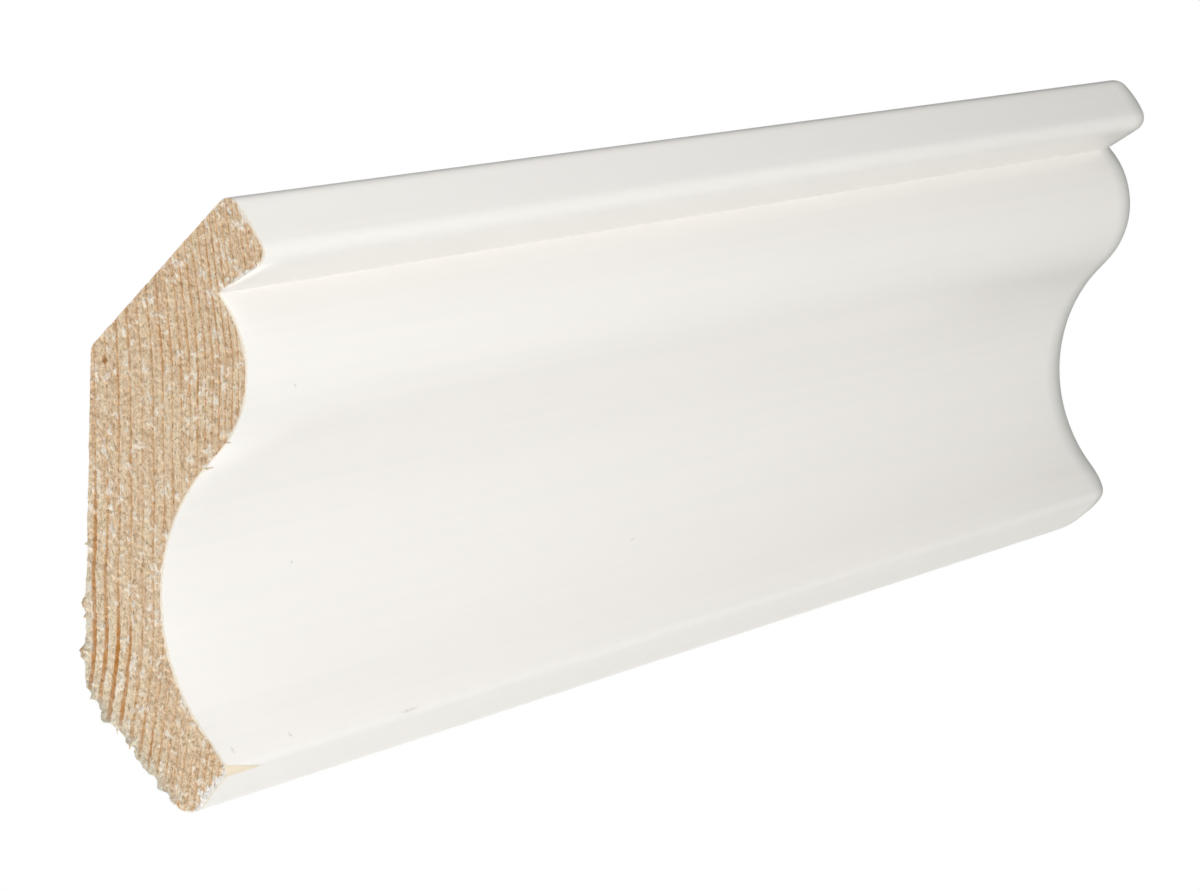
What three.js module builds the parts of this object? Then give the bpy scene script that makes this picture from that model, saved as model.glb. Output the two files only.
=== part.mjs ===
import * as THREE from 'three';

// A length of painted softwood crown moulding, sprung between a wall and a ceiling.
// Millimetres, +Z up, +X along the length, the room towards -Y.
// The origin is the middle of the wall face, which lies in the plane y = 0.

const LENGTH = 323;

// Faces that bear on the building
const WALL_FACE_DROP = 26;
const CEILING_HEIGHT_ABOVE_WALL_FACE = 34.4;
const CEILING_FACE_START = 36.2;
const PROJECTION = 70;

// Nose under the ceiling, leaning back a little, and the quirk that it overhangs
const NOSE_HEIGHT = 11.4;
const NOSE_SETBACK = 1.6;
const QUIRK_PROJECTION = 58.2;
const QUIRK_RISE = 2.3;

// Ovolo below the quirk, then the cove that sweeps down to the wall
const OVOLO_RADIUS = 16.2;
const COVE_RADIUS = 28.6;
const COVE_DEPTH_FROM_WALL = 11.2;

// Bottom edge, rising a little from the wall to the lip of the cove
const LIP_PROJECTION = 10.6;
const LIP_RISE = 1;

// Eased corners
const CEILING_ARRIS_RADIUS = 1.8;
const NOSE_ARRIS_RADIUS = 2.6;
const LIP_RADIUS = 1.6;
const BOTTOM_ARRIS_RADIUS = 3;
const BACK_ARRIS_RADIUS = 1.5;

const DEGREES_PER_FACET = 4;

// The section is drawn with x as the projection from the wall and y as the height above
// the middle of the wall face.
const topOfWallFace = WALL_FACE_DROP / 2;
const bottomOfWallFace = -WALL_FACE_DROP / 2;
const ceiling = topOfWallFace + CEILING_HEIGHT_ABOVE_WALL_FACE;
const noseBottom = ceiling - NOSE_HEIGHT;
const quirkHeight = noseBottom + QUIRK_RISE;

// A corner is a point and the radius that eases it.
function corner(x, y, radius = 0) {
  return { point: new THREE.Vector2(x, y), radius };
}

// Points of the arc that eases a corner between its two neighbours
function easedCorner(before, at, after) {
  if (at.radius === 0) {
    return [at.point];
  }
  const toBefore = before.point.clone().sub(at.point).normalize();
  const toAfter = after.point.clone().sub(at.point).normalize();
  const halfAngle = Math.acos(toBefore.dot(toAfter)) / 2;
  const bisector = toBefore.clone().add(toAfter).normalize();
  const centre = at.point.clone().addScaledVector(bisector, at.radius / Math.sin(halfAngle));
  const start = at.point.clone().addScaledVector(toBefore, at.radius / Math.tan(halfAngle)).sub(centre);
  const end = at.point.clone().addScaledVector(toAfter, at.radius / Math.tan(halfAngle)).sub(centre);
  const sweep = Math.atan2(start.cross(end), start.dot(end));
  return arc(centre, at.radius, start.angle(), sweep);
}

// Points of an arc, both ends included, with one facet for every few degrees
function arc(centre, radius, startAngle, sweep) {
  const facets = Math.max(2, Math.ceil(Math.abs(THREE.MathUtils.radToDeg(sweep)) / DEGREES_PER_FACET));
  const points = [];
  for (let i = 0; i <= facets; i += 1) {
    const angle = startAngle + (sweep * i) / facets;
    points.push(new THREE.Vector2(Math.cos(angle), Math.sin(angle)).multiplyScalar(radius).add(centre));
  }
  return points;
}

// The ovolo starts upright at the quirk and ends level; the cove starts level and ends upright.
function ogee() {
  const ovoloCentre = new THREE.Vector2(QUIRK_PROJECTION - OVOLO_RADIUS, quirkHeight);
  const coveCentre = new THREE.Vector2(
    COVE_DEPTH_FROM_WALL + COVE_RADIUS,
    quirkHeight - OVOLO_RADIUS - COVE_RADIUS,
  );
  const ovolo = arc(ovoloCentre, OVOLO_RADIUS, 0, -Math.PI / 2);
  const cove = arc(coveCentre, COVE_RADIUS, Math.PI / 2, Math.PI / 2);
  return [...ovolo, ...cove];
}

function mouldingSection() {
  const backLower = corner(0, topOfWallFace, BACK_ARRIS_RADIUS);
  const backUpper = corner(CEILING_FACE_START, ceiling, BACK_ARRIS_RADIUS);
  const ceilingArris = corner(PROJECTION, ceiling, CEILING_ARRIS_RADIUS);
  const noseArris = corner(PROJECTION - NOSE_SETBACK, noseBottom, NOSE_ARRIS_RADIUS);
  const quirk = corner(QUIRK_PROJECTION, quirkHeight);
  const curve = ogee();
  const coveFoot = { point: curve[curve.length - 1], radius: 0 };
  const lip = corner(LIP_PROJECTION, bottomOfWallFace + LIP_RISE, LIP_RADIUS);
  const bottomArris = corner(0, bottomOfWallFace, BOTTOM_ARRIS_RADIUS);
  const points = [
    ...easedCorner(bottomArris, backLower, backUpper),
    ...easedCorner(backLower, backUpper, ceilingArris),
    ...easedCorner(backUpper, ceilingArris, noseArris),
    ...easedCorner(ceilingArris, noseArris, quirk),
    ...curve,
    ...easedCorner(coveFoot, lip, bottomArris),
    ...easedCorner(lip, bottomArris, backLower),
  ];
  return new THREE.Shape(points);
}

// The section is swept along the length: its x turns to -Y and its y to +Z.
function crownMoulding() {
  const geometry = new THREE.ExtrudeGeometry(mouldingSection(), {
    depth: LENGTH,
    steps: 1,
    bevelEnabled: false,
  });
  geometry.translate(0, 0, -LENGTH / 2);
  const sectionX = new THREE.Vector3(0, -1, 0);
  const sectionY = new THREE.Vector3(0, 0, 1);
  const along = new THREE.Vector3().crossVectors(sectionX, sectionY);
  geometry.applyMatrix4(new THREE.Matrix4().makeBasis(sectionX, sectionY, along));
  const paintedSoftwood = new THREE.MeshStandardMaterial({
    color: 0xf1f0ec,
    roughness: 0.35,
    metalness: 0,
  });
  const mesh = new THREE.Mesh(geometry, paintedSoftwood);
  mesh.name = 'crown_moulding';
  return mesh;
}

const group = new THREE.Group();
group.add(crownMoulding());

export default group;
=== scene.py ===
import math

import bmesh
import bpy
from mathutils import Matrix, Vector, noise
from mathutils.geometry import delaunay_2d_cdt
from mathutils.kdtree import KDTree


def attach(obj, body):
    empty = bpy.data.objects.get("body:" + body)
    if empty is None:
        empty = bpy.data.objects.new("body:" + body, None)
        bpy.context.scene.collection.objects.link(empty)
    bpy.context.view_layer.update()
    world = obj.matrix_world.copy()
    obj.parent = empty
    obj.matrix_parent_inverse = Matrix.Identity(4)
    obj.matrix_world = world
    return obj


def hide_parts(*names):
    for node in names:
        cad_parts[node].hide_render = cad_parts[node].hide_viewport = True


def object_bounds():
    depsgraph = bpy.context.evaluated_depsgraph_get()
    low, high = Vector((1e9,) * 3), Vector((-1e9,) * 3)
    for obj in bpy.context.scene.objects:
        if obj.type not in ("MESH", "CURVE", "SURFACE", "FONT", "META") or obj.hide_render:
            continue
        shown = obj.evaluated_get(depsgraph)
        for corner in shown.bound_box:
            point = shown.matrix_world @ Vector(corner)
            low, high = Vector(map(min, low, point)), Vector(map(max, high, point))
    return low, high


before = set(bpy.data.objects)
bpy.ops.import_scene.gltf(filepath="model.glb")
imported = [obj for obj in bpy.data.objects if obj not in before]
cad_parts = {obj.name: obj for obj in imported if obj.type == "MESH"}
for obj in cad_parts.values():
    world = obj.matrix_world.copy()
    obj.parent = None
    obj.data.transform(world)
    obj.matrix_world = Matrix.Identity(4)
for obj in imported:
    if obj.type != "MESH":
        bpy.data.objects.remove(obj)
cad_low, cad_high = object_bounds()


# Camera
# It looks slightly down on the face from the sawn end. The moulding is modelled as it is fixed,
# with its ceiling face level, so the camera is turned until the back of the section stands upright.
CAMERA_AT = Vector((-0.7338, -0.3818, -0.1769))
CAMERA_AIM = Vector((-0.0115, -0.0142, 0.0239))
CAMERA_ROLL = math.radians(-38.87)
SENSOR_MM = 36
FRAME_WIDTH_PX = 1200
FOCAL_LENGTH_PX = 4845
NEAREST_SEEN = 0.01
FURTHEST_SEEN = 50

camera_data = bpy.data.cameras.new("photo_camera")
camera_data.sensor_width = SENSOR_MM
camera_data.lens = SENSOR_MM * FOCAL_LENGTH_PX / FRAME_WIDTH_PX
camera_data.clip_start = NEAREST_SEEN
camera_data.clip_end = FURTHEST_SEEN
camera = bpy.data.objects.new("photo_camera", camera_data)
camera.location = CAMERA_AT
camera_turn = (CAMERA_AIM - CAMERA_AT).to_track_quat("-Z", "Y").to_matrix().to_4x4()
camera_turn @= camera_turn.Rotation(CAMERA_ROLL, 4, "Z")
camera.rotation_mode = "QUATERNION"
camera.rotation_quaternion = camera_turn.to_quaternion()
bpy.context.scene.collection.objects.link(camera)
bpy.context.scene.camera = camera
camera_axes = camera_turn.to_3x3()


# Crown moulding
# One length of pine or spruce, moulded on four sides by a planer: a nose and a quirk over an ogee on
# the face, and a back with two bearing faces square to each other. The section below is in mm, as
# (distance from the wall, height above the middle of the wall face), and is swept along the length.
MM = 0.001
LENGTH = 323
WALL_FACE_DROP = 26
CEILING_HEIGHT_ABOVE_WALL_FACE = 34.4
CEILING_FACE_START = 36.2
PROJECTION = 70
NOSE_HEIGHT = 11.4
NOSE_SETBACK = 1.6
QUIRK_PROJECTION = 58.2
QUIRK_RISE = 2.3
OVOLO_RADIUS = 16.2
COVE_RADIUS = 28.6
COVE_DEPTH_FROM_WALL = 11.2
LIP_PROJECTION = 10.6
LIP_RISE = 1
CEILING_ARRIS_RADIUS = 1.8
NOSE_ARRIS_RADIUS = 2.6
LIP_RADIUS = 1.6
BOTTOM_ARRIS_RADIUS = 3
BACK_ARRIS_RADIUS = 1.5
POINT_SPACING = 0.5
FEWEST_ARC_STEPS = 4
SAME_POINT = 0.001

top_of_wall_face = WALL_FACE_DROP / 2
bottom_of_wall_face = -WALL_FACE_DROP / 2
ceiling = top_of_wall_face + CEILING_HEIGHT_ABOVE_WALL_FACE
nose_bottom = ceiling - NOSE_HEIGHT
quirk_height = nose_bottom + QUIRK_RISE


def arc(centre, radius, start, sweep):
    """Points of an arc in the section, both ends included."""
    steps = max(FEWEST_ARC_STEPS, math.ceil(abs(sweep) * radius / POINT_SPACING))
    angles = [start + sweep * i / steps for i in range(steps + 1)]
    return [centre + radius * Vector((math.cos(a), math.sin(a))) for a in angles]


def eased(before, corner, after, radius):
    """The arc that eases a corner between its two neighbours."""
    to_before = (before - corner).normalized()
    to_after = (after - corner).normalized()
    half = to_before.angle(to_after) / 2
    centre = corner + (to_before + to_after).normalized() * radius / math.sin(half)
    start = corner + to_before * radius / math.tan(half) - centre
    end = corner + to_after * radius / math.tan(half) - centre
    sweep = math.atan2(start.x * end.y - start.y * end.x, start.dot(end))
    return arc(centre, radius, math.atan2(start.y, start.x), sweep)


def divided(points):
    """The same line, end points kept, with no stretch longer than the spacing."""
    line = [points[0]]
    for a, b in zip(points, points[1:]):
        steps = max(1, round((b - a).length / POINT_SPACING))
        line += [a.lerp(b, i / steps) for i in range(1, steps + 1) if (b - a).length > SAME_POINT]
    return line


back_lower = Vector((0, top_of_wall_face))
back_upper = Vector((CEILING_FACE_START, ceiling))
ceiling_arris = Vector((PROJECTION, ceiling))
nose_arris = Vector((PROJECTION - NOSE_SETBACK, nose_bottom))
quirk = Vector((QUIRK_PROJECTION, quirk_height))
ovolo_centre = quirk - Vector((OVOLO_RADIUS, 0))
cove_top = quirk_height - OVOLO_RADIUS
cove_centre = Vector((COVE_DEPTH_FROM_WALL + COVE_RADIUS, cove_top - COVE_RADIUS))
cove_foot = cove_centre - Vector((COVE_RADIUS, 0))
lip = Vector((LIP_PROJECTION, bottom_of_wall_face + LIP_RISE))
bottom_arris = Vector((0, bottom_of_wall_face))

face_run = divided([
    *eased(back_upper, ceiling_arris, nose_arris, CEILING_ARRIS_RADIUS),
    *eased(ceiling_arris, nose_arris, quirk, NOSE_ARRIS_RADIUS),
    *arc(ovolo_centre, OVOLO_RADIUS, 0, -math.pi / 2),
    *arc(cove_centre, COVE_RADIUS, math.pi / 2, math.pi / 2),
    *eased(cove_foot, lip, bottom_arris, LIP_RADIUS),
    *eased(lip, bottom_arris, back_lower, BOTTOM_ARRIS_RADIUS),
])
back_run = divided([
    face_run[-1],
    *eased(bottom_arris, back_lower, back_upper, BACK_ARRIS_RADIUS),
    *eased(back_lower, back_upper, ceiling_arris, BACK_ARRIS_RADIUS),
    face_run[0],
])
section = face_run + back_run[1:-1]
AROUND = len(section)


def outward(i):
    """Direction out of the wood at a point of the section, which runs clockwise."""
    along = section[(i + 1) % AROUND] - section[i - 1]
    return Vector((-along.y, along.x)).normalized()


normals = [outward(i) for i in range(AROUND)]


def place(point, x):
    """A point of the section at a distance along the length, in metres."""
    return Vector((x, -point.x, point.y)) * MM


def finder(line):
    """Finds which point of a line lies nearest to a place in the section."""
    points = KDTree(len(line))
    for i, p in enumerate(line):
        points.insert((p.x, p.y, 0), i)
    points.balance()
    return points


near_section = finder(section)
near_face = finder(face_run)


def node(tree, kind, inputs=(), out=0, **settings):
    """Adds a node; its inputs are values or outputs of other nodes. Gives one of its outputs."""
    made = tree.nodes.new(kind)
    for name, value in settings.items():
        setattr(made, name, value)
    for key, value in inputs.items() if isinstance(inputs, dict) else enumerate(inputs):
        if isinstance(value, bpy.types.NodeSocket):
            tree.links.new(value, made.inputs[key])
        else:
            made.inputs[key].default_value = value
    return made.outputs[out] if made.outputs else made


def group(name, sizes):
    """An empty Geometry Nodes tree from one mesh to another, with named inputs."""
    tree = bpy.data.node_groups.new(name, "GeometryNodeTree")
    tree.interface.new_socket("Geometry", in_out="OUTPUT", socket_type="NodeSocketGeometry")
    tree.interface.new_socket("Geometry", in_out="INPUT", socket_type="NodeSocketGeometry")
    for size, kind in sizes.items():
        tree.interface.new_socket(size, in_out="INPUT", socket_type="NodeSocket" + kind)
    return tree


def built(mesh, tree, values):
    """The plain mesh that a tree makes of a mesh."""
    obj = bpy.data.objects.new(tree.name, mesh)
    bpy.context.scene.collection.objects.link(obj)
    modifier = obj.modifiers.new(tree.name, "NODES")
    modifier.node_group = tree
    for item in tree.interface.items_tree:
        if item.name in values:
            modifier[item.identifier] = values[item.name]
    depsgraph = bpy.context.evaluated_depsgraph_get()
    evaluated = obj.evaluated_get(depsgraph)
    made = bpy.data.meshes.new_from_object(evaluated, preserve_all_data_layers=True, depsgraph=depsgraph)
    obj.modifiers.remove(modifier)
    bpy.data.objects.remove(obj)
    return made


# The right-hand end is eased, and painted with the face. The easing is longer than it is deep, and
# takes the corners of the section further in than its flats, but keeps the quirk a sharp corner.
# The bottom arris and the lip are knocked off further, and over a greater length.
STATIONS = 91
EASED_LENGTH = 6.6
EASED_DEPTH = 1.1
EASED_END_ROUND = 0.8
EASING_STEPS = 12
CORNER_REACH = 4
CORNER_SOFTNESS = 0.22
QUIRK_CLEARANCE = 20
KNOCKED_LENGTH = 1.2

# Each knocked corner, how far round it the wood is taken off, and how much deeper than the rest
KNOCKED = [
    (bottom_arris, 9.0, 1.2),
    (lip, 5.0, 0.35),
]


def taken_in(line, depths):
    """The outline, from the quirk round to the quirk, moved into the wood and its corners rounder."""
    last = len(line) - 1
    moved = []
    outs = []
    for i, p in enumerate(line):
        behind = line[max(0, i - CORNER_REACH)]
        ahead = line[min(last, i + CORNER_REACH)]
        along = (ahead - behind).normalized()
        out = Vector((-along.y, along.x))
        level = (ahead + behind) / 2
        softness = CORNER_SOFTNESS * min(1, i / QUIRK_CLEARANCE, (last - i) / QUIRK_CLEARANCE)
        if (level - p).dot(out) > 0:
            softness = 0
        outs.append(out)
        moved.append(p.lerp(level, softness) - out * depths[i])
    one_side, other_side = outs[0], outs[-1]
    moved[0] = line[0] - (one_side + other_side) * depths[0] / (1 + one_side.dot(other_side))
    moved[-1] = moved[0]
    return moved


at_quirk = min(range(AROUND), key=lambda i: (section[i] - quirk).length)
from_quirk = section[at_quirk:] + section[:at_quirk + 1]
knocked = [0] * len(from_quirk)
for corner, reach, most in KNOCKED:
    shares = [max(0, 1 - (p - corner).length / reach) for p in from_quirk]
    knocked = [depth + most * share * share * (3 - 2 * share) for depth, share in zip(knocked, shares)]
eased_end = from_quirk
for _ in range(EASING_STEPS):
    eased_end = taken_in(eased_end, [(EASED_DEPTH + depth) / EASING_STEPS for depth in knocked])

# Both lists again in the section's own order
eased_end = eased_end[-at_quirk - 1:-1] + eased_end[:-at_quirk - 1]
knocked = knocked[-at_quirk - 1:-1] + knocked[:-at_quirk - 1]


def sweep_tree():
    """Sweeps a section along X, with stations that close up towards both ends."""
    sizes = {
        "Length": "Float",
        "Stations": "Int",
        "Eased Length": "Float",
        "End Round": "Float",
        "Material": "Material",
    }
    tree = group("swept_moulding", sizes)
    outline = node(tree, "NodeGroupInput", out="Geometry")
    length = node(tree, "NodeGroupInput", out="Length")
    half = node(tree, "ShaderNodeMath", [length, 0.5], operation="MULTIPLY")
    stations = node(tree, "NodeGroupInput", out="Stations")
    line = node(tree, "GeometryNodeCurvePrimitiveLine", {"End": (1, 0, 0)})
    line = node(tree, "GeometryNodeResampleCurve", {"Curve": line, "Count": stations})
    share = node(tree, "GeometryNodeSplineParameter", out="Factor")
    turn = node(tree, "ShaderNodeMath", [share, -math.pi, math.pi], operation="MULTIPLY_ADD")
    cosine = node(tree, "ShaderNodeMath", [turn], operation="COSINE")
    x = node(tree, "ShaderNodeMath", [cosine, half], operation="MULTIPLY")
    x = node(tree, "ShaderNodeCombineXYZ", {"X": x})
    line = node(tree, "GeometryNodeSetPosition", {"Geometry": line, "Position": x})
    profile = node(tree, "GeometryNodeMeshToCurve", {"Mesh": outline})
    swept = node(tree, "GeometryNodeCurveToMesh", {"Curve": line, "Profile Curve": profile})

    position = node(tree, "GeometryNodeInputPosition")
    x = node(tree, "ShaderNodeSeparateXYZ", [position], out="X")
    from_end = node(tree, "ShaderNodeMath", [half, x], operation="SUBTRACT")
    longer = node(tree, "GeometryNodeInputNamedAttribute", {"Name": "longer"}, data_type="FLOAT")
    reach = node(tree, "NodeGroupInput", out="Eased Length")
    reach = node(tree, "ShaderNodeMath", [reach, longer, reach], operation="MULTIPLY_ADD")
    into = node(tree, "ShaderNodeMapRange", [from_end, reach, 0.0, 0.0, 1.0])
    level = node(tree, "ShaderNodeMath", [into, into], operation="MULTIPLY")
    level = node(tree, "ShaderNodeMath", [1.0, level], operation="SUBTRACT")
    end_round = node(tree, "NodeGroupInput", out="End Round")
    level = node(tree, "ShaderNodeMath", [level, end_round], operation="POWER")
    share = node(tree, "ShaderNodeMath", [1.0, level], operation="SUBTRACT")
    pull = node(tree, "GeometryNodeInputNamedAttribute", {"Name": "pull"}, data_type="FLOAT_VECTOR")
    offset = node(tree, "ShaderNodeVectorMath", {0: pull, "Scale": share}, operation="SCALE")
    eased = node(tree, "GeometryNodeSetPosition", {"Geometry": swept, "Offset": offset})
    real = node(tree, "GeometryNodeRealizeInstances", [eased])
    material = node(tree, "NodeGroupInput", out="Material")
    finished = node(tree, "GeometryNodeSetMaterial", {"Geometry": real, "Material": material})
    node(tree, "NodeGroupOutput", [finished])
    return tree


# Fibres that the saw left standing on the end grain. Wood fibre is 0.03 mm thick, and these are
# drawn as thick as they need to be to show. Each leans by up to FIBRE_LEAN radians, and its width,
# breadth and length are scaled by a share between the least and the most.
FIBRES_PER_SQUARE_MM = 0.3
FIBRE_LENGTH = 0.6
FIBRE_RADIUS = 0.075
FIBRE_SIDES = 4
FIBRE_LEAN = 1.1
FIBRE_LEAST = (0.6, 0.6, 0.3)
FIBRE_MOST = (1.2, 1.2, 1.0)
FIBRE_SEED = 7


def fibre_tree():
    """Stands small closed cones on the faces of one material, leaning at random."""
    sizes = {
        "On": "Material",
        "Density": "Float",
        "Fibre Length": "Float",
        "Fibre Radius": "Float",
        "Sides": "Int",
        "Seed": "Int",
    }
    tree = group("torn_fibres", sizes)
    piece = node(tree, "NodeGroupInput", out="Geometry")
    material = node(tree, "NodeGroupInput", out="On")
    seed = node(tree, "NodeGroupInput", out="Seed")
    on_end = node(tree, "GeometryNodeMaterialSelection", [material])
    spots = node(tree, "GeometryNodeDistributePointsOnFaces", {
        "Mesh": piece,
        "Selection": on_end,
        "Density": node(tree, "NodeGroupInput", out="Density"),
        "Seed": seed,
    }).node
    cone = node(tree, "GeometryNodeMeshCone", {
        "Vertices": node(tree, "NodeGroupInput", out="Sides"),
        "Radius Top": 0.0,
        "Radius Bottom": node(tree, "NodeGroupInput", out="Fibre Radius"),
        "Depth": node(tree, "NodeGroupInput", out="Fibre Length"),
    }, out="Mesh")
    lean = node(tree, "FunctionNodeRandomValue", {
        "Min": (-FIBRE_LEAN, -FIBRE_LEAN, 0.0),
        "Max": (FIBRE_LEAN, FIBRE_LEAN, math.tau),
        "Seed": seed,
    }, data_type="FLOAT_VECTOR")
    turned = node(tree, "FunctionNodeRotateRotation", {
        "Rotation": spots.outputs["Rotation"],
        "Rotate By": node(tree, "FunctionNodeEulerToRotation", [lean]),
    }, rotation_space="LOCAL")
    scale = node(tree, "FunctionNodeRandomValue", {
        "Min": FIBRE_LEAST,
        "Max": FIBRE_MOST,
        "Seed": seed,
    }, data_type="FLOAT_VECTOR")
    fibres = node(tree, "GeometryNodeInstanceOnPoints", {
        "Points": spots.outputs["Points"],
        "Instance": cone,
        "Rotation": turned,
        "Scale": scale,
    })
    real = node(tree, "GeometryNodeRealizeInstances", [fibres])
    real = node(tree, "GeometryNodeSetMaterial", {"Geometry": real, "Material": material})
    joined = node(tree, "GeometryNodeJoinGeometry", [real])
    tree.links.new(piece, joined.node.inputs[0])
    node(tree, "NodeGroupOutput", [joined])
    return tree


# Paint: satin white, sprayed on the face and sanded between coats, so it is smooth with a low
# sheen. It carries a few specks and a scratch, and has a chip at the lip beside the saw cut.
# Towards the eased far end it turns grey, which is painted shade.
PAINT_WHITE = "#f2efeb"
PAINT_THIN = "#efede8"
MARK_GREY = "#c4c0b8"
CHIP_CREAM = "#e8dbc3"
FRAYED_EDGE = "#e9dfcd"
# Painted shade: the grey that the paint turns to at the eased far end, and over how many mm from that end
FAR_END_SHADE_GREY = "#c4c6c1"
FAR_END_SHADE_REACH = 9.0
PAINT_ROUGHNESS = 0.38
PAINT_NEARNESS_REACH = 8.0

# The wood's grain shows faintly through the paint, which has a slight orange peel. A pattern has
# its waves per mm, and a stretch below 1 draws it out that way. BETWEEN gives the two values of a
# pattern between which its look fades in, and IN_PEELS a height as a share of the peel's.
GRAIN_PER_MM = 0.9
GRAIN_STRETCH = 0.012
GRAIN_THIN_BETWEEN = (0.65, 0.35)
THINNEST = 0.5
PEEL_PER_MM = 0.7
PEEL_HEIGHT = 0.008
GRAIN_IN_PEELS = 0.25
RAGGED_PER_MM = 2.4
FRAY_RAGGED = -1.4
FRAY_BETWEEN = (-0.05, -0.3)

# Each mark is its distance from the sawn end, its place in the section, its half length and half width
MARKS = [
    (13.5, 51.4, 25.0, 0.5, 0.35),
    (4.0, 10.9, -8.9, 0.3, 0.7),
    (19.0, 10.9, -9.3, 0.4, 0.6),
    (35.0, 19.7, 13.9, 0.4, 0.3),
    (138.5, 13.7, 5.1, 0.9, 0.25),
    (51.0, 10.6, -11.2, 2.6, 0.3),
]
MARK_FADES_BETWEEN = (1.3, 0.3)
MARK_PATCHES_BETWEEN = (0.35, 0.6)
MARK_STRENGTH = (0.1, 0.6)
MARK_IN_PEELS = -3.0
CHIP_LENGTH = 10.2
CHIP_HALF_WIDTH = 0.95
CHIP_START = Vector((10.2, -11.45))
CHIP_TIP = Vector((9.6, -12.1))
CHIP_RAGGED = 0.3
CHIP_BETWEEN = (0.12, 0.22)
CHIP_ROUGHER = 0.35
CHIP_IN_PEELS = -12.0


def srgb(code):
    """A hex colour as linear RGBA."""
    parts = [int(code[i:i + 2], 16) / 255 for i in (1, 3, 5)]
    return (*[c / 12.92 if c <= 0.04045 else ((c + 0.055) / 1.055) ** 2.4 for c in parts], 1)


def in_mm(tree, centre=(0, 0, 0), squeeze=(1, 1, 1)):
    """The place on the piece in mm from a centre; a squeezed axis stretches a pattern along it."""
    place_on_piece = node(tree, "ShaderNodeTexCoord", out="Object")
    start = [-c * s for c, s in zip(centre, squeeze)]
    scale = [s / MM for s in squeeze]
    return node(tree, "ShaderNodeMapping", {"Vector": place_on_piece, "Location": start, "Scale": scale})


def new_material(name):
    """An empty material, its tree and its shader."""
    material = bpy.data.materials.new(name)
    material.use_nodes = True
    return material, material.node_tree, material.node_tree.nodes["Principled BSDF"]


def satin_paint():
    material, tree, shader = new_material("satin_white_paint")
    along_grain = in_mm(tree, squeeze=(GRAIN_STRETCH, 1, 1))
    grain = node(tree, "ShaderNodeTexNoise", {"Vector": along_grain, "Scale": GRAIN_PER_MM, "Detail": 3.0})
    peel = node(tree, "ShaderNodeTexNoise", {"Vector": in_mm(tree), "Scale": PEEL_PER_MM, "Detail": 1.0})
    ragged = node(tree, "ShaderNodeTexNoise", {"Vector": in_mm(tree), "Scale": RAGGED_PER_MM, "Detail": 3.0})
    thin = node(tree, "ShaderNodeMapRange", [grain, *GRAIN_THIN_BETWEEN, 0.0, THINNEST])

    # A colour Mix node takes its factor at 0 and its colours at 6 and 7, and gives its result at 2
    colours = {0: thin, 6: srgb(PAINT_WHITE), 7: srgb(PAINT_THIN)}
    colour = node(tree, "ShaderNodeMix", colours, 2, data_type="RGBA")

    marked = 0.0
    for from_saw, out, up, half_length, half_width in MARKS:
        centre = (from_saw - LENGTH / 2, -out, up)
        spot = in_mm(tree, centre, (1 / half_length, 1 / half_width, 1 / half_width))
        away = node(tree, "ShaderNodeVectorMath", [spot], out="Value", operation="LENGTH")
        here = node(tree, "ShaderNodeMapRange", [away, *MARK_FADES_BETWEEN], interpolation_type="SMOOTHSTEP")
        marked = node(tree, "ShaderNodeMath", [marked, here], operation="MAXIMUM")
    patchy = node(tree, "ShaderNodeMapRange", [ragged, *MARK_PATCHES_BETWEEN, *MARK_STRENGTH])
    marked = node(tree, "ShaderNodeMath", [marked, patchy], operation="MULTIPLY")
    colour = node(tree, "ShaderNodeMix", {0: marked, 6: colour, 7: srgb(MARK_GREY)}, 2, data_type="RGBA")

    x = node(tree, "ShaderNodeSeparateXYZ", [in_mm(tree, (-LENGTH / 2, 0, 0))], out="X")
    # Painted shade: the paint darkens to grey over the last few mm before the eased far end
    eased = node(tree, "ShaderNodeMapRange", [x, LENGTH - FAR_END_SHADE_REACH, LENGTH])
    colour = node(tree, "ShaderNodeMix", {0: eased, 6: colour, 7: srgb(FAR_END_SHADE_GREY)}, 2, data_type="RGBA")
    fray = node(tree, "ShaderNodeMath", [ragged, FRAY_RAGGED, x], operation="MULTIPLY_ADD")
    fray = node(tree, "ShaderNodeMapRange", [fray, *FRAY_BETWEEN], interpolation_type="SMOOTHSTEP")
    colour = node(tree, "ShaderNodeMix", {0: fray, 6: colour, 7: srgb(FRAYED_EDGE)}, 2, data_type="RGBA")

    slope = (CHIP_TIP - CHIP_START) / CHIP_LENGTH
    middle = node(tree, "ShaderNodeVectorMath", {0: (1, -slope.x, slope.y), "Scale": x}, operation="SCALE")
    from_start = in_mm(tree, (-LENGTH / 2, -CHIP_START.x, CHIP_START.y))
    beside = node(tree, "ShaderNodeVectorMath", [from_start, middle], out="Value", operation="DISTANCE")
    width = node(tree, "ShaderNodeMapRange", [x, CHIP_LENGTH, 0.0, 0.0, CHIP_HALF_WIDTH])
    inside = node(tree, "ShaderNodeMath", [width, beside], operation="SUBTRACT")
    inside = node(tree, "ShaderNodeMath", [ragged, CHIP_RAGGED, inside], operation="MULTIPLY_ADD")
    chip = node(tree, "ShaderNodeMapRange", [inside, *CHIP_BETWEEN], interpolation_type="SMOOTHSTEP")
    colour = node(tree, "ShaderNodeMix", {0: chip, 6: colour, 7: srgb(CHIP_CREAM)}, 2, data_type="RGBA")
    tree.links.new(colour, shader.inputs["Base Color"])
    rough = node(tree, "ShaderNodeMath", [chip, CHIP_ROUGHER, PAINT_ROUGHNESS], operation="MULTIPLY_ADD")
    tree.links.new(rough, shader.inputs["Roughness"])

    height = node(tree, "ShaderNodeMath", [grain, GRAIN_IN_PEELS, peel], operation="MULTIPLY_ADD")
    height = node(tree, "ShaderNodeMath", [marked, MARK_IN_PEELS, height], operation="MULTIPLY_ADD")
    height = node(tree, "ShaderNodeMath", [chip, CHIP_IN_PEELS, height], operation="MULTIPLY_ADD")
    bump = node(tree, "ShaderNodeBump", {"Height": height, "Distance": PEEL_HEIGHT * MM})
    tree.links.new(bump, shader.inputs["Normal"])
    return material


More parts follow.
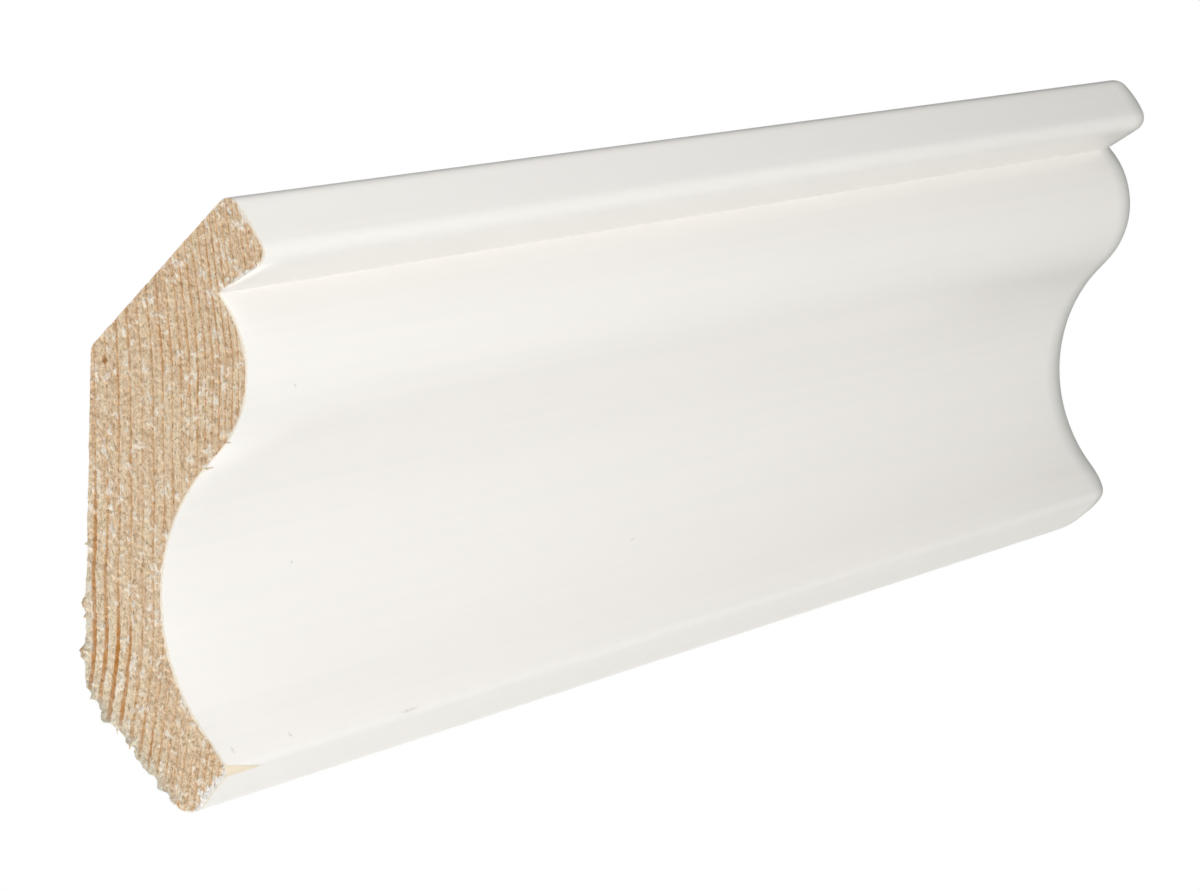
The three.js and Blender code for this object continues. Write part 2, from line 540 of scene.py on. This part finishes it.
# Wood: pine or spruce, bare at the saw cut and on the back. The pith lay far behind the back, so the
# growth rings cross the section as bands parallel with the back, which bend low down and in the nose,
# 2 mm apart at the back and half that in the nose. Each darkens slowly from pale earlywood to
# orange-brown latewood, then stops short. The latewood is strongest low down near the back, and
# stronger again in the nose.
BACK_DEPTH = 9.0
RING_WIDTH = 2.05
NARROWER_FROM = 10.0
NARROWER = 0.014
LOW_BEND = 15.0
NOSE_BEND = 60.0
BEND_SLOPE = 0.15
BEND_EASE = 8.0
RING_STRETCH = 0.02
NOISE_MIDDLE = 0.5
WANDER = 0.8
WANDER_PER_MM = 0.09
JAGGED = 0.3
JAGGED_PER_MM = 1.6
FAINTEST_RING = 0.65
EARLYWOOD = "#e6d1b1"
EARLYWOOD_LOW = "#eee0c4"
EARLYWOOD_PINK = "#d9ba98"
RING_FRINGE = "#dcab72"
LATEWOOD = "#bd803d"

# Where the look changes over the section: low down near the back, by height + LOW_LEAN * depth, and
# in the nose, by height + depth
LOW_LEAN = 3.0
LOW_BETWEEN = (48.0, 30.0)
LOW_STRENGTH = (0.6, 1.25)
LOW_PALER = 0.5
NOSE_BETWEEN = (60.0, 78.0)
NOSE_STRONGER = 0.15
PATCHES_PER_MM = 0.14
PATCH_BETWEEN = (0.35, 0.6)
FAINTEST_PATCH = 0.65

# Within one ring, as shares of its width
RING_STOPS_BETWEEN = (1.0, 0.95)
FRINGE_BETWEEN = (0.3, 0.85)
FRINGE_SHARE = 0.55
LATE_FROM = 0.95
LATE_SOONER = -0.32
LATE_EDGE = 0.14
TONE_PER_MM = 2.0
TONE_STRETCH = (1, 0.08, 0.02)
TONE_BETWEEN = (0.38, 0.62)


def growth_rings(tree):
    """Clean wood: its colour, its share of latewood, and its (depth, height along a ring, x) in mm."""
    place_in_mm = in_mm(tree)
    slow = in_mm(tree, squeeze=(RING_STRETCH, 1, 1))

    # The back leans at 45 degrees between the two bearing faces
    inwards = (0, -math.sqrt(0.5), -math.sqrt(0.5))
    upwards = (0, -math.sqrt(0.5), math.sqrt(0.5))
    x = node(tree, "ShaderNodeSeparateXYZ", [place_in_mm], out="X")
    depth = node(tree, "ShaderNodeVectorMath", [place_in_mm, inwards], out="Value", operation="DOT_PRODUCT")
    depth = node(tree, "ShaderNodeMath", [depth, BACK_DEPTH], operation="ADD")
    height = node(tree, "ShaderNodeVectorMath", [place_in_mm, upwards], out="Value", operation="DOT_PRODUCT")
    for bend_from, way in ((LOW_BEND, -1), (NOSE_BEND, 1)):
        bend = node(tree, "ShaderNodeMath", [height, way, -way * bend_from], operation="MULTIPLY_ADD")
        bend = node(tree, "ShaderNodeMath", [bend, 0.0, BEND_EASE], operation="SMOOTH_MAX")
        depth = node(tree, "ShaderNodeMath", [bend, BEND_SLOPE, depth], operation="MULTIPLY_ADD")
    ring_place = node(tree, "ShaderNodeCombineXYZ", [depth, height, x])

    wander = node(tree, "ShaderNodeTexNoise", {"Vector": slow, "Scale": WANDER_PER_MM, "Detail": 1.0})
    wander = node(tree, "ShaderNodeMath", [wander, -NOISE_MIDDLE], operation="ADD")
    ring_depth = node(tree, "ShaderNodeMath", [wander, WANDER, depth], operation="MULTIPLY_ADD")
    jagged = node(tree, "ShaderNodeTexNoise", {"Vector": slow, "Scale": JAGGED_PER_MM, "Detail": 2.0})
    jagged = node(tree, "ShaderNodeMath", [jagged, -NOISE_MIDDLE], operation="ADD")
    ring_depth = node(tree, "ShaderNodeMath", [jagged, JAGGED, ring_depth], operation="MULTIPLY_ADD")
    rings = node(tree, "ShaderNodeMath", [ring_depth, 1 / RING_WIDTH], operation="MULTIPLY")
    deep = node(tree, "ShaderNodeMath", [ring_depth, NARROWER_FROM], operation="SUBTRACT")
    deep = node(tree, "ShaderNodeMath", [deep, 0.0], operation="MAXIMUM")
    deep = node(tree, "ShaderNodeMath", [deep, deep], operation="MULTIPLY")
    rings = node(tree, "ShaderNodeMath", [deep, NARROWER, rings], operation="MULTIPLY_ADD")
    number = node(tree, "ShaderNodeMath", [rings], operation="FLOOR")
    within = node(tree, "ShaderNodeMath", [rings], operation="FRACT")

    strength = node(tree, "ShaderNodeTexWhiteNoise", {"W": number}, noise_dimensions="1D")
    strength = node(tree, "ShaderNodeMapRange", [strength, 0.0, 1.0, FAINTEST_RING, 1.0])
    low = node(tree, "ShaderNodeMath", [depth, LOW_LEAN, height], operation="MULTIPLY_ADD")
    strong = node(tree, "ShaderNodeMapRange", [low, *LOW_BETWEEN, *LOW_STRENGTH])
    nose = node(tree, "ShaderNodeMath", [depth, height], operation="ADD")
    nose = node(tree, "ShaderNodeMapRange", [nose, *NOSE_BETWEEN, 0.0, NOSE_STRONGER])
    strong = node(tree, "ShaderNodeMath", [strong, nose], operation="ADD")
    strength = node(tree, "ShaderNodeMath", [strength, strong], operation="MULTIPLY")
    patchy = node(tree, "ShaderNodeTexNoise", {"Vector": slow, "Scale": PATCHES_PER_MM, "Detail": 1.0})
    patchy = node(tree, "ShaderNodeMapRange", [patchy, *PATCH_BETWEEN, FAINTEST_PATCH, 1.0])
    strength = node(tree, "ShaderNodeMath", [strength, patchy], operation="MULTIPLY")
    stop = node(tree, "ShaderNodeMapRange", [within, *RING_STOPS_BETWEEN], interpolation_type="SMOOTHSTEP")
    strength = node(tree, "ShaderNodeMath", [strength, stop], operation="MULTIPLY")
    fringe = node(tree, "ShaderNodeMapRange", [within, *FRINGE_BETWEEN], interpolation_type="SMOOTHSTEP")
    fringe = node(tree, "ShaderNodeMath", [fringe, strength], operation="MULTIPLY")
    late_from = node(tree, "ShaderNodeMath", [strong, LATE_SOONER, LATE_FROM], operation="MULTIPLY_ADD")
    late_by = node(tree, "ShaderNodeMath", [late_from, LATE_EDGE], operation="ADD")
    late = node(tree, "ShaderNodeMapRange", [within, late_from, late_by], interpolation_type="SMOOTHSTEP")
    late = node(tree, "ShaderNodeMath", [late, strength], operation="MULTIPLY")

    streaks = node(tree, "ShaderNodeVectorMath", [ring_place, TONE_STRETCH], operation="MULTIPLY")
    tone = node(tree, "ShaderNodeTexNoise", {"Vector": streaks, "Scale": TONE_PER_MM, "Detail": 2.0})
    tone = node(tree, "ShaderNodeMapRange", [tone, *TONE_BETWEEN])
    colours = {0: tone, 6: srgb(EARLYWOOD), 7: srgb(EARLYWOOD_PINK)}
    colour = node(tree, "ShaderNodeMix", colours, 2, data_type="RGBA")
    share = node(tree, "ShaderNodeMapRange", [low, *LOW_BETWEEN, 0.0, LOW_PALER])
    colour = node(tree, "ShaderNodeMix", {0: share, 6: colour, 7: srgb(EARLYWOOD_LOW)}, 2, data_type="RGBA")
    share = node(tree, "ShaderNodeMath", [fringe, FRINGE_SHARE], operation="MULTIPLY")
    colour = node(tree, "ShaderNodeMix", {0: share, 6: colour, 7: srgb(RING_FRINGE)}, 2, data_type="RGBA")
    colour = node(tree, "ShaderNodeMix", {0: late, 6: colour, 7: srgb(LATEWOOD)}, 2, data_type="RGBA")
    return colour, late, ring_place


# A coarse saw left this end rough: fine pits between cut cells, darkened with painted shade, and pale
# tufts of bent fibre 0.5 to 1.5 mm across, mostly in the soft earlywood. Paint is smeared over its edge in
# places.
# A cell is 0.03 mm across, too fine to show, so the cells and pits are drawn ten times as coarse.
TUFT_PALE = "#f2e9db"
# Painted shade: the brown that darkens the pits, the low places between cut cells
PIT_SHADE_BROWN = "#977348"
CUT_CELLS_PALE = "#ecdcc6"
RESIN_BROWN = "#a06a35"
RESIN_SPOT = (36.7, 44.4)
RESIN_RADIUS = 0.7
RESIN_CORE = 0.3
TORN_FIBRE = "#d3d1c1"
SAWN_ROUGHNESS = 0.85
SAWN_SPECULAR = 0.2
CELLS_PER_MM = 3.0
CELLS_STRETCH = (1, 0.38, 1)
PIT_SHADE_BETWEEN = (0.46, 0.3)
PIT_SHADE_SHARE = 0.8
CUT_CELLS_BETWEEN = (0.52, 0.7)
CUT_CELLS_SHARE = 0.8
TUFTS_PER_MM = 0.95
TUFTS_STRETCH = (1, 0.75, 1)
TUFTS_BETWEEN = (0.56, 0.66)
TUFT_SHARE = 0.9
TUFTS_LESS_ON_LATEWOOD = -0.8
SPECKLES_BETWEEN = (0.4, 0.5)
SPECKLE_LEAST = 0.45
SMEAR_RAGGED = 2.0
SMEAR_EDGE = 0.35
SMEAR_SHARE = 0.9
CELL_HEIGHT = 0.4
TUFT_IN_CELLS = 0.8


def distance_to_paint(tree):
    """How far the face's paint is in mm, for as far as its nearness is kept."""
    nearness = node(tree, "ShaderNodeAttribute", out="Fac", attribute_name="near_paint")
    return node(tree, "ShaderNodeMapRange", [nearness, 1.0, 0.0, 0.0, PAINT_NEARNESS_REACH])


def sawn_softwood():
    material, tree, shader = new_material("sawn_end_grain")
    colour, late, ring_place = growth_rings(tree)
    streaked = node(tree, "ShaderNodeVectorMath", [ring_place, CELLS_STRETCH], operation="MULTIPLY")
    cells = node(tree, "ShaderNodeTexNoise", {
        "Vector": streaked,
        "Scale": CELLS_PER_MM,
        "Detail": 3.0,
        "Roughness": 0.75,
    })
    rounder = node(tree, "ShaderNodeVectorMath", [ring_place, TUFTS_STRETCH], operation="MULTIPLY")
    blotch = node(tree, "ShaderNodeTexNoise", {
        "Vector": rounder,
        "Scale": TUFTS_PER_MM,
        "Detail": 2.0,
        "Roughness": 0.5,
    })
    # Painted shade in the pits, where the cells' bump is lowest
    pit_shade = node(tree, "ShaderNodeMapRange", [cells, *PIT_SHADE_BETWEEN, 0.0, PIT_SHADE_SHARE])
    early = node(tree, "ShaderNodeMath", [late, TUFTS_LESS_ON_LATEWOOD, 1.0], operation="MULTIPLY_ADD")
    pale = node(tree, "ShaderNodeMapRange", [cells, *CUT_CELLS_BETWEEN, 0.0, CUT_CELLS_SHARE])
    pale = node(tree, "ShaderNodeMath", [pale, early], operation="MULTIPLY")
    colour = node(tree, "ShaderNodeMix", {0: pit_shade, 6: colour, 7: srgb(PIT_SHADE_BROWN)}, 2, data_type="RGBA")
    colour = node(tree, "ShaderNodeMix", {0: pale, 6: colour, 7: srgb(CUT_CELLS_PALE)}, 2, data_type="RGBA")
    spot = in_mm(tree, (-LENGTH / 2, -RESIN_SPOT[0], RESIN_SPOT[1]))
    spot = node(tree, "ShaderNodeVectorMath", [spot], out="Value", operation="LENGTH")
    spot = node(tree, "ShaderNodeMapRange", [spot, RESIN_RADIUS, RESIN_CORE * RESIN_RADIUS, 0.0, 1.0])
    colour = node(tree, "ShaderNodeMix", {0: spot, 6: colour, 7: srgb(RESIN_BROWN)}, 2, data_type="RGBA")
    tufts = node(tree, "ShaderNodeMapRange", [blotch, *TUFTS_BETWEEN, 0.0, TUFT_SHARE])
    tufts = node(tree, "ShaderNodeMath", [tufts, early], operation="MULTIPLY")
    speckled = node(tree, "ShaderNodeMapRange", [cells, *SPECKLES_BETWEEN, SPECKLE_LEAST, 1.0])
    tufts = node(tree, "ShaderNodeMath", [tufts, speckled], operation="MULTIPLY")
    colour = node(tree, "ShaderNodeMix", {0: tufts, 6: colour, 7: srgb(TUFT_PALE)}, 2, data_type="RGBA")
    crust = node(tree, "ShaderNodeAttribute", out="Fac", attribute_name="torn")
    crust = node(tree, "ShaderNodeMath", [crust, speckled], operation="MULTIPLY")
    colour = node(tree, "ShaderNodeMix", {0: crust, 6: colour, 7: srgb(TORN_FIBRE)}, 2, data_type="RGBA")
    width = node(tree, "ShaderNodeAttribute", out="Fac", attribute_name="smeared")
    ragged = node(tree, "ShaderNodeMath", [blotch, cells], operation="ADD")
    ragged = node(tree, "ShaderNodeMath", [ragged, SMEAR_RAGGED, -1.0], operation="MULTIPLY_ADD")
    smear = node(tree, "ShaderNodeMath", [width, ragged], operation="MULTIPLY")
    smear = node(tree, "ShaderNodeMath", [smear, distance_to_paint(tree)], operation="SUBTRACT")
    smear = node(tree, "ShaderNodeMapRange", [smear, 0.0, SMEAR_EDGE, 0.0, SMEAR_SHARE],
                 interpolation_type="SMOOTHSTEP")
    colour = node(tree, "ShaderNodeMix", {0: smear, 6: colour, 7: srgb(PAINT_WHITE)}, 2, data_type="RGBA")
    tree.links.new(colour, shader.inputs["Base Color"])
    shader.inputs["Roughness"].default_value = SAWN_ROUGHNESS
    shader.inputs["Specular IOR Level"].default_value = SAWN_SPECULAR
    height = node(tree, "ShaderNodeMath", [blotch, TUFT_IN_CELLS, cells], operation="MULTIPLY_ADD")
    bump = node(tree, "ShaderNodeBump", {"Height": height, "Distance": CELL_HEIGHT * MM})
    tree.links.new(bump, shader.inputs["Normal"])
    return material


# The back was planed and left bare. Spray drifted round both edges of the face, thick at the arris
# and speckled out over the next few millimetres. The fibres show as fine streaks, drawn 0.3 mm wide.
PLANED_FIBRE = "#c9a67c"
PLANED_ROUGHNESS = 0.6
KNIFE_MARK_SPACING = 1.6
KNIFE_MARK_IN_FIBRES = 0.15
STREAKS_PER_MM = 3.0
STREAKS_STRETCH = 0.03
STREAKS_BETWEEN = (0.55, 0.3)
STREAK_SHARE = 0.6
STREAK_HEIGHT = 0.05
LATEWOOD_IN_FIBRES = 0.4
MIST_PER_MM = 1.5
MIST_STRETCH = 0.5
SPRAY_FADES_BY = 6.0
SPRAY_THINS = (0.25, 0.85)
SPRAY_EDGE = (-0.05, 0.06)


def planed_softwood():
    material, tree, shader = new_material("planed_softwood")
    colour, late, _ = growth_rings(tree)
    streaked = in_mm(tree, squeeze=(STREAKS_STRETCH, 1, 1))
    fibre = node(tree, "ShaderNodeTexNoise", {"Vector": streaked, "Scale": STREAKS_PER_MM, "Detail": 3.0})
    share = node(tree, "ShaderNodeMapRange", [fibre, *STREAKS_BETWEEN, 0.0, STREAK_SHARE])
    colour = node(tree, "ShaderNodeMix", {0: share, 6: colour, 7: srgb(PLANED_FIBRE)}, 2, data_type="RGBA")
    mist = node(tree, "ShaderNodeTexNoise", {
        "Vector": in_mm(tree, squeeze=(MIST_STRETCH, 1, 1)),
        "Scale": MIST_PER_MM,
        "Detail": 4.0,
        "Roughness": 0.7,
    })
    thinner = node(tree, "ShaderNodeMapRange", [distance_to_paint(tree), 0.0, SPRAY_FADES_BY, *SPRAY_THINS])
    spray = node(tree, "ShaderNodeMath", [mist, thinner], operation="SUBTRACT")
    spray = node(tree, "ShaderNodeMapRange", [spray, *SPRAY_EDGE], interpolation_type="SMOOTHSTEP")
    colour = node(tree, "ShaderNodeMix", {0: spray, 6: colour, 7: srgb(PAINT_WHITE)}, 2, data_type="RGBA")
    crust = node(tree, "ShaderNodeAttribute", out="Fac", attribute_name="torn")
    colour = node(tree, "ShaderNodeMix", {0: crust, 6: colour, 7: srgb(TORN_FIBRE)}, 2, data_type="RGBA")
    tree.links.new(colour, shader.inputs["Base Color"])
    shader.inputs["Roughness"].default_value = PLANED_ROUGHNESS
    x = node(tree, "ShaderNodeSeparateXYZ", [in_mm(tree)], out="X")
    knife = node(tree, "ShaderNodeMath", [x, math.tau / KNIFE_MARK_SPACING], operation="MULTIPLY")
    knife = node(tree, "ShaderNodeMath", [knife], operation="SINE")
    height = node(tree, "ShaderNodeMath", [knife, KNIFE_MARK_IN_FIBRES, fibre], operation="MULTIPLY_ADD")
    height = node(tree, "ShaderNodeMath", [late, LATEWOOD_IN_FIBRES, height], operation="MULTIPLY_ADD")
    bump = node(tree, "ShaderNodeBump", {"Height": height, "Distance": STREAK_HEIGHT * MM})
    tree.links.new(bump, shader.inputs["Normal"])
    return material


paint = satin_paint()
sawn = sawn_softwood()
planed = planed_softwood()

outline_mesh = bpy.data.meshes.new("section")
profile = [(p.x * MM, -p.y * MM, 0) for p in section]
outline_mesh.from_pydata(profile, [(i, (i + 1) % AROUND) for i in range(AROUND)], [])
pull = outline_mesh.attributes.new("pull", "FLOAT_VECTOR", "POINT")
for i, p in enumerate(section):
    pull.data[i].vector = place(eased_end[i] - p, 0)
longer = outline_mesh.attributes.new("longer", "FLOAT", "POINT")
longer.data.foreach_set("value", [KNOCKED_LENGTH * min(1, depth) for depth in knocked])
swept = built(outline_mesh, sweep_tree(), {
    "Length": LENGTH * MM,
    "Stations": STATIONS,
    "Eased Length": EASED_LENGTH * MM,
    "End Round": EASED_END_ROUND,
    "Material": paint,
})

# Both ends are closed, the sawn one with a fine skin that can carry its rough grain
SAWN_SKIN_SPACING = 0.26
PAINTED_SKIN_SPACING = 2.0
SKIN_STAGGER = 0.5
SKIN_JITTER = 0.3
SKIN_CLEARANCE = 0.6
SKIN_SEED = 11
SKIN_TOLERANCE = 1e-5
WELD = 1e-6


def end_skin(body, x, rim, spacing):
    """Closes an end with triangles of about the given spacing."""
    low = Vector((min(p.x for p in rim), min(p.y for p in rim)))
    high = Vector((max(p.x for p in rim), max(p.y for p in rim)))
    near_rim = finder(rim)
    points = list(rim)
    for row in range(int((high.y - low.y) / spacing)):
        for column in range(int((high.x - low.x) / spacing)):
            p = low + Vector((column + SKIN_STAGGER * (row % 2), row)) * spacing
            p += noise.random_vector().xy * spacing * SKIN_JITTER
            if near_rim.find((p.x, p.y, 0))[2] > spacing * SKIN_CLEARANCE:
                points.append(p)
    edges = [(i, (i + 1) % len(rim)) for i in range(len(rim))]
    flat, _, faces, *_ = delaunay_2d_cdt(points, edges, [], 1, SKIN_TOLERANCE)
    corners = [body.verts.new(place(p, x)) for p in flat]
    for face in faces:
        body.faces.new([corners[i] for i in face])


noise.seed_set(SKIN_SEED)
body = bmesh.new()
body.from_mesh(swept)
end_skin(body, -LENGTH / 2, section, SAWN_SKIN_SPACING)
far_rim = sorted((v for v in body.verts if v.co.x > LENGTH / 2 * MM - WELD), key=lambda v: v.index)
end_skin(body, LENGTH / 2, [Vector((-v.co.y, v.co.z)) / MM for v in far_rim], PAINTED_SKIN_SPACING)
bmesh.ops.remove_doubles(body, verts=body.verts, dist=WELD)
bmesh.ops.recalc_face_normals(body, faces=body.faces)

# The saw tore the back where it came out: lumps of fibre stand proud below this height, with
# hollows between them, and the cut face is rough all over.
TEAR_TOP = 31.0
TEAR_FADE = 22.0
LEAST_TORN = 0.05
LUMP_HEIGHT = 1.8
LUMP_SPACING = 2.8
LUMP_FADE = 0.8
LUMPS_MORE = 0.15
LUMP_FORWARD = 0.4
HOLLOW_DEPTH = 1.2
HOLLOW_FADE = 2.4
HOLLOWS_FEWER = 0.05
HOLLOWS_APART = Vector((9, 4, 1))
SKIN_RELIEF = 0.15
SKIN_GRAIN = 0.55
RIM_FADE = 0.9
BURR_REACH = 14.0

# Noise: the place in it of the rim, and for lumps and skin how fast it fades, its step and octaves
NOISE_SLICE = 3.0
LUMP_NOISE = (1.0, 2.0, 3)
SKIN_NOISE = (0.8, 2.0, 3)


def tear_at(i):
    """How badly the section is torn at one of its points, 0 to 1."""
    if i < len(face_run):
        return 0.0
    return min(1.0, max(LEAST_TORN, (TEAR_TOP - section[i].y) / TEAR_FADE))


def relief(point, i, from_rim, from_saw):
    """How far the saw moved a point near its cut, in mm."""
    on_rim = Vector((section[i].x, section[i].y, NOISE_SLICE)) / LUMP_SPACING
    lump = max(0.0, noise.fractal(on_rim, *LUMP_NOISE) + LUMPS_MORE) * LUMP_HEIGHT
    hollow = max(0.0, noise.noise(on_rim + HOLLOWS_APART) - HOLLOWS_FEWER) * HOLLOW_DEPTH
    out = lump * math.exp(-from_saw / LUMP_FADE) - hollow * math.exp(-from_saw / HOLLOW_FADE)
    out *= tear_at(i) * math.exp(-from_rim / RIM_FADE)
    moved = Vector((0, -normals[i].x, normals[i].y)) * out
    if from_saw < SAME_POINT:
        rough = noise.fractal(point / SKIN_GRAIN, *SKIN_NOISE) * SKIN_RELIEF
        moved.x = -rough - tear_at(i) * lump * LUMP_FORWARD * math.exp(-from_rim / RIM_FADE)
    return moved


# Where paint is smeared over the cut: the place, how far round it, and the width of the smear
SMEARS = [
    ((63.5, 37.0), 7.0, 0.7),
    ((6.0, -12.0), 6.5, 1.6),
    ((69.5, 44.0), 4.0, 0.5),
]
SMEAR_ELSEWHERE = 0.25


def smear_at(point):
    """The width of the paint smeared over the cut near a point of the section."""
    width = SMEAR_ELSEWHERE
    for at, reach, most in SMEARS:
        width = max(width, most * (1 - (point - Vector(at)).length / reach))
    return width


# The slots of the piece's materials, and the angle past which an edge isn't shaded smooth
PAINT_SLOT = 0
SAWN_SLOT = 1
PLANED_SLOT = 2
SHARP = math.radians(35)

near_paint = body.verts.layers.float.new("near_paint")
smeared = body.verts.layers.float.new("smeared")
torn = body.verts.layers.float.new("torn")
for edge in body.edges:
    edge.smooth = edge.calc_face_angle() < SHARP
for face in body.faces:
    face.smooth = True
    centre = face.calc_center_median() / MM
    at = near_section.find((-centre.y, centre.z, 0))[1]
    if centre.x < -LENGTH / 2 + SAME_POINT:
        face.material_index = SAWN_SLOT
    elif centre.x < LENGTH / 2 - EASED_LENGTH and at >= len(face_run):
        face.material_index = PLANED_SLOT
    else:
        face.material_index = PAINT_SLOT
for vertex in body.verts:
    point = vertex.co / MM
    in_section = (-point.y, point.z, 0)
    _, i, from_rim = near_section.find(in_section)
    vertex[near_paint] = max(0.0, 1 - near_face.find(in_section)[2] / PAINT_NEARNESS_REACH)
    vertex[smeared] = smear_at(Vector(in_section[:2]))
    from_saw = point.x + LENGTH / 2
    if from_saw < BURR_REACH:
        vertex[torn] = tear_at(i) * math.exp(-from_rim / RIM_FADE) * math.exp(-from_saw / LUMP_FADE)
        vertex.co += relief(point, i, from_rim, from_saw) * MM


# Longer splinters hang from the rim: root and tip in the section, and root radius
SPLINTERS = [
    ((0.6, 5.9), (-0.9, 4.1), 0.28),
    ((0.3, 2.2), (-0.8, 1.2), 0.35),
    ((7.4, 20.1), (6.8, 20.3), 0.4),
    ((15.2, 27.4), (14.7, 27.8), 0.4),
    ((38.2, 22.1), (40.1, 21.1), 0.24),
    ((43.9, 22.4), (44.9, 21.6), 0.16),
]
SPLINTER_SIDES = 5
SPLINTER_DEPTH = 0.3
SPLINTER_GREY = 0.35
NECK_AT = 0.55
NECK_SHARE = 0.6


def splinter(body, root, tip, radius):
    """A closed spike of wood at the sawn end, which thins towards its tip."""
    root_at = place(Vector(root), -LENGTH / 2 + SPLINTER_DEPTH)
    tip_at = place(Vector(tip), -LENGTH / 2 + SPLINTER_DEPTH / 2)
    turn = (tip_at - root_at).to_track_quat("Z", "X").to_matrix()
    angles = [math.tau * k / SPLINTER_SIDES for k in range(SPLINTER_SIDES)]
    around = [turn @ Vector((math.cos(a), math.sin(a), 0)) * radius * MM for a in angles]
    base = [body.verts.new(root_at + v) for v in around]
    neck = [body.verts.new(root_at.lerp(tip_at, NECK_AT) + v * NECK_SHARE) for v in around]
    point = body.verts.new(tip_at)
    faces = [body.faces.new(base[::-1])]
    for k in range(SPLINTER_SIDES):
        after = (k + 1) % SPLINTER_SIDES
        faces.append(body.faces.new((base[k], base[after], neck[after], neck[k])))
        faces.append(body.faces.new((neck[k], neck[after], point)))
    for face in faces:
        face.material_index = SAWN_SLOT
        face.smooth = True
    for vertex in (*base, *neck, point):
        vertex[torn] = SPLINTER_GREY


for root, tip, radius in SPLINTERS:
    splinter(body, root, tip, radius)

skin = bpy.data.meshes.new("moulding_skin")
body.to_mesh(skin)
body.free()
for material in (paint, sawn, planed):
    skin.materials.append(material)
mesh = built(skin, fibre_tree(), {
    "On": sawn,
    "Density": FIBRES_PER_SQUARE_MM / MM ** 2,
    "Fibre Length": FIBRE_LENGTH * MM,
    "Fibre Radius": FIBRE_RADIUS * MM,
    "Sides": FIBRE_SIDES,
    "Seed": FIBRE_SEED,
})
mesh.name = "crown_moulding_length"
moulding = bpy.data.objects.new("crown_moulding_length", mesh)
bpy.context.scene.collection.objects.link(moulding)
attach(moulding, "root")
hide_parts("crown_moulding")


# Studio
# A pale floor well below the held moulding, and soft light from six large panels. Two in front to
# the right and one in front above light the face. The strongest, low on the left, lights the sawn
# end, and weak ones from below and from behind on the left fill the shadows.
FLOOR_HEIGHT = -0.9
FLOOR_SIZE = 12
FLOOR_PALE = "#f2f2f0"
FLOOR_ROUGHNESS = 0.9
BACKDROP_STRENGTH = 1.0
AMBIENT_STRENGTH = 0.1
PANEL_SIZE = 0.8
PANEL_DISTANCE = 1.1

# Each panel is its direction in the camera's view, right, up and near, and its watts
PANELS = {
    "main": ((1, 0, 1), 6.5),
    "fill": ((0.5, 0, 1), 2.8),
    "high": ((0, 1, 1), 4.5),
    "under": ((0, -1, 0), 1.8),
    "end": ((-1, -1, 0), 20.7),
    "back": ((-0.8, 0.1, -0.6), 5.0),
}

floor_mesh = bpy.data.meshes.new("floor")
half_floor = FLOOR_SIZE / 2
around = ((-1, -1), (1, -1), (1, 1), (-1, 1))
corners = [(x * half_floor, y * half_floor, FLOOR_HEIGHT) for x, y in around]
floor_mesh.from_pydata(corners, [], [(0, 1, 2, 3)])
floor_material, _, floor_shader = new_material("pale_floor")
floor_shader.inputs["Base Color"].default_value = srgb(FLOOR_PALE)
floor_shader.inputs["Roughness"].default_value = FLOOR_ROUGHNESS
floor_mesh.materials.append(floor_material)
floor = bpy.data.objects.new("floor", floor_mesh)
bpy.context.scene.collection.objects.link(floor)

middle = (Vector(cad_low) + Vector(cad_high)) / 2
for name, (direction, watts) in PANELS.items():
    panel = bpy.data.lights.new(name + "_panel", "AREA")
    panel.size = PANEL_SIZE
    panel.energy = watts
    light = bpy.data.objects.new(name + "_panel", panel)
    light.location = middle + camera_axes @ Vector(direction).normalized() * PANEL_DISTANCE
    light.rotation_mode = "QUATERNION"
    light.rotation_quaternion = (middle - light.location).to_track_quat("-Z", "Y")
    bpy.context.scene.collection.objects.link(light)

world = bpy.data.worlds.new("studio")
world.use_nodes = True
studio = world.node_tree
seen = node(studio, "ShaderNodeLightPath", out="Is Camera Ray")
brightness = node(studio, "ShaderNodeMapRange", [seen, 0.0, 1.0, AMBIENT_STRENGTH, BACKDROP_STRENGTH])
background = studio.nodes["Background"]
background.inputs["Color"].default_value = (1, 1, 1, 1)
studio.links.new(brightness, background.inputs["Strength"])
bpy.context.scene.world = world
bpy.context.scene.view_settings.view_transform = "Standard"
